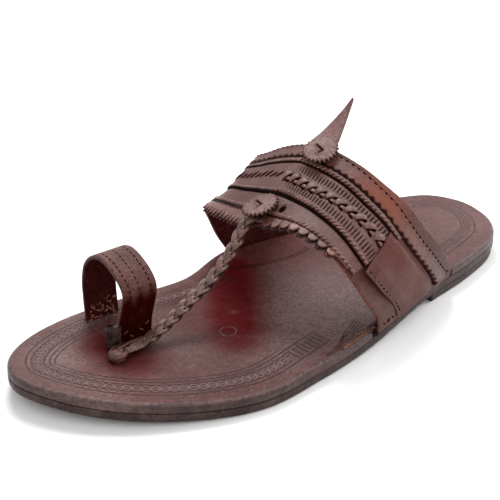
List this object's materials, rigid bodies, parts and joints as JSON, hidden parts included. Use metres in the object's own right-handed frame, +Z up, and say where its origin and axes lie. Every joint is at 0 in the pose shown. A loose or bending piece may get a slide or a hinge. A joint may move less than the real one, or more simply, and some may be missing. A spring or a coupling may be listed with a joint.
{
  "type": "toe-loop leather sandal",
  "caption": "Slip-on leather sandal with a woven instep band, a plaited thong and a big-toe loop on a layered flat sole.",
  "frame": {"origin": "on the floor, in the middle of the flat tread under the ball of the foot", "axes": "+Z up, -Y towards the toe, +X towards the outer (little-toe) side"},
  "size_m": [0.1139, 0.28, 0.0938],
  "materials": {
    "sole_leather": "waxed, dark brown, worn edge",
    "footbed_leather": "burnished mahogany, stamped border",
    "band_leather": "smooth, semi-gloss reddish brown",
    "overlay_leather": "smooth, semi-gloss, cut and pinked edges",
    "lace_leather": "woven and plaited strips, semi-gloss"
  },
  "bodies": {
    "root": {"outsole": "sole_leather", "heel_lift": "sole_leather", "insole": "footbed_leather", "instep_band": "band_leather", "scalloped_strip": "overlay_leather", "front_strip": "overlay_leather", "woven_strap": "lace_leather", "pinked_strip": "overlay_leather", "inner_patch": "overlay_leather", "outer_patch": "overlay_leather", "front_rosette": "overlay_leather", "rear_rosette": "overlay_leather", "spike": "overlay_leather", "toe_loop": "band_leather", "thong": "lace_leather", "thong_knot": "lace_leather", "thong_post": "lace_leather"}
  },
  "joints": []
}
